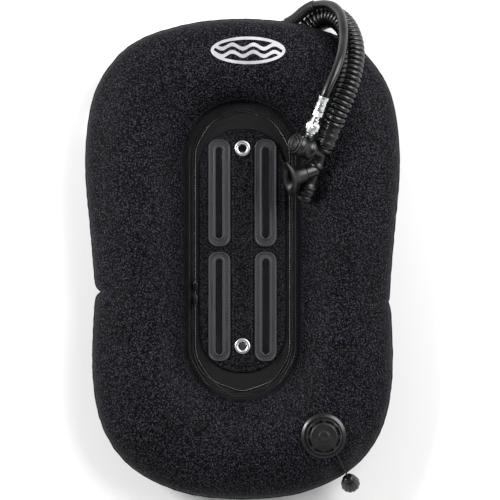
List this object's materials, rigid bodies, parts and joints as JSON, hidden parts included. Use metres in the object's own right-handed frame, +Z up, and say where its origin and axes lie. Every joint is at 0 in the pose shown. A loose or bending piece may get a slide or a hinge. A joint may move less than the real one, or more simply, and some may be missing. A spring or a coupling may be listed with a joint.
{
  "type": "buoyancy compensator wing",
  "caption": "Inflated oval buoyancy wing with a backplate bay, strap slots, zip, corrugated hose, power inflator, quick coupling and dump valve.",
  "frame": {"origin": "on the floor plane under the middle of the wing's bounding box", "axes": "+Z up out of the diver's side, +Y towards the head, +X towards the inflator hose's side"},
  "size_m": [0.445, 0.7072, 0.1522],
  "materials": {
    "cordura": "matte",
    "bladder_film": "satin",
    "webbing": "matte",
    "slot_rubber": "matte",
    "hose_rubber": "satin",
    "moulded_plastic": "satin",
    "mouthpiece_rubber": "matte",
    "plated_brass": "gloss",
    "stainless_steel": "gloss",
    "emblem_print": "satin"
  },
  "bodies": {
    "wing": {"shell_front": "cordura", "shell_back": "cordura", "inner_bladder": "bladder_film", "edge_piping": "webbing", "centre_panel": "webbing", "front_pad": "cordura", "centre_strip": "webbing", "slot_plate_upper_left": "slot_rubber", "slot_plate_upper_right": "slot_rubber", "slot_plate_lower_left": "slot_rubber", "slot_plate_lower_right": "slot_rubber", "grommet_upper": "stainless_steel", "grommet_washer_upper": "stainless_steel", "grommet_lower": "stainless_steel", "grommet_washer_lower": "stainless_steel", "zip_tape_outer": "webbing", "zip_tape_inner": "webbing", "zip_teeth": "moulded_plastic", "emblem": "emblem_print", "dump_gasket": "mouthpiece_rubber", "dump_base": "moulded_plastic", "dump_nut": "moulded_plastic", "dump_cap": "moulded_plastic", "dump_spring": "stainless_steel", "elbow_body": "moulded_plastic", "elbow_gasket": "mouthpiece_rubber", "elbow_nut": "moulded_plastic", "inflator_body": "moulded_plastic", "inflate_collar": "stainless_steel", "inflate_spring": "stainless_steel", "deflate_spring": "stainless_steel", "mouthpiece": "mouthpiece_rubber", "hose_cuff": "hose_rubber", "hose_tie_upper": "moulded_plastic", "hose_tie_lower": "moulded_plastic", "coupling_plug": "plated_brass", "coupling_body": "plated_brass", "coupling_ferrule": "plated_brass", "corrugated_hose": "hose_rubber", "supply_hose": "hose_rubber", "hose_protector": "mouthpiece_rubber", "supply_ferrule": "plated_brass", "supply_fitting": "plated_brass", "supply_o_ring": "mouthpiece_rubber"},
    "inflate_button": {"inflate_button": "slot_rubber"},
    "deflate_button": {"deflate_button": "slot_rubber"},
    "coupling_sleeve": {"coupling_sleeve": "plated_brass"},
    "dump_pull": {"pull_knob": "moulded_plastic", "pull_cord": "webbing"},
    "dump_poppet": {"dump_poppet": "moulded_plastic", "dump_seal": "mouthpiece_rubber"},
    "zip_slider_upper": {"zip_slider_upper": "moulded_plastic"},
    "zip_tab_upper": {"zip_tab_upper": "moulded_plastic"},
    "zip_slider_lower": {"zip_slider_lower": "moulded_plastic"},
    "zip_tab_lower": {"zip_tab_lower": "moulded_plastic"}
  },
  "joints": [
    {"name": "inflate_press", "type": "slide", "parent": "wing", "child": "inflate_button", "axis": [0.7619, -0.2554, -0.5953], "range_m": [0, 0.0035], "stiffness_N_per_m": 900, "springref_m": -0.002},
    {"name": "deflate_press", "type": "slide", "parent": "wing", "child": "deflate_button", "axis": [0.3495, 0.9074, 0.2336], "range_m": [0, 0.003], "stiffness_N_per_m": 800, "springref_m": -0.002},
    {"name": "coupling_release", "type": "slide", "parent": "wing", "child": "coupling_sleeve", "axis": [0.3495, 0.9074, 0.2336], "range_m": [0, 0.004], "stiffness_N_per_m": 2000, "springref_m": -0.001},
    {"name": "dump_pull", "type": "slide", "parent": "wing", "child": "dump_pull", "axis": [0.5651, -0.8206, -0.0852], "range_m": [0, 0.008], "stiffness_N_per_m": 400, "springref_m": -0.002},
    {"name": "dump_lift", "type": "slide", "parent": "wing", "child": "dump_poppet", "axis": [0, 0, 1], "range_m": [0, 0.0035], "stiffness_N_per_m": 600, "springref_m": -0.002, "deforming": ["dump_spring"]},
    {"name": "zip_upper_run", "type": "slide", "parent": "wing", "child": "zip_slider_upper", "axis": [0, 1, 0], "range_m": [0, 0.15]},
    {"name": "zip_upper_tab", "type": "hinge", "parent": "zip_slider_upper", "child": "zip_tab_upper", "pos_m": [-0.0668, -0.041, 0.0555], "axis": [1, 0, 0], "range_deg": [0, 90]},
    {"name": "zip_lower_run", "type": "slide", "parent": "wing", "child": "zip_slider_lower", "axis": [0, -1, 0], "range_m": [0, 0.05]},
    {"name": "zip_lower_tab", "type": "hinge", "parent": "zip_slider_lower", "child": "zip_tab_lower", "pos_m": [-0.0668, -0.055, 0.0555], "axis": [-1, 0, 0], "range_deg": [0, 90]}
  ],
  "couplings": [
    {"joint": "dump_lift", "follows": "dump_pull", "ratio": 0.4}
  ]
}
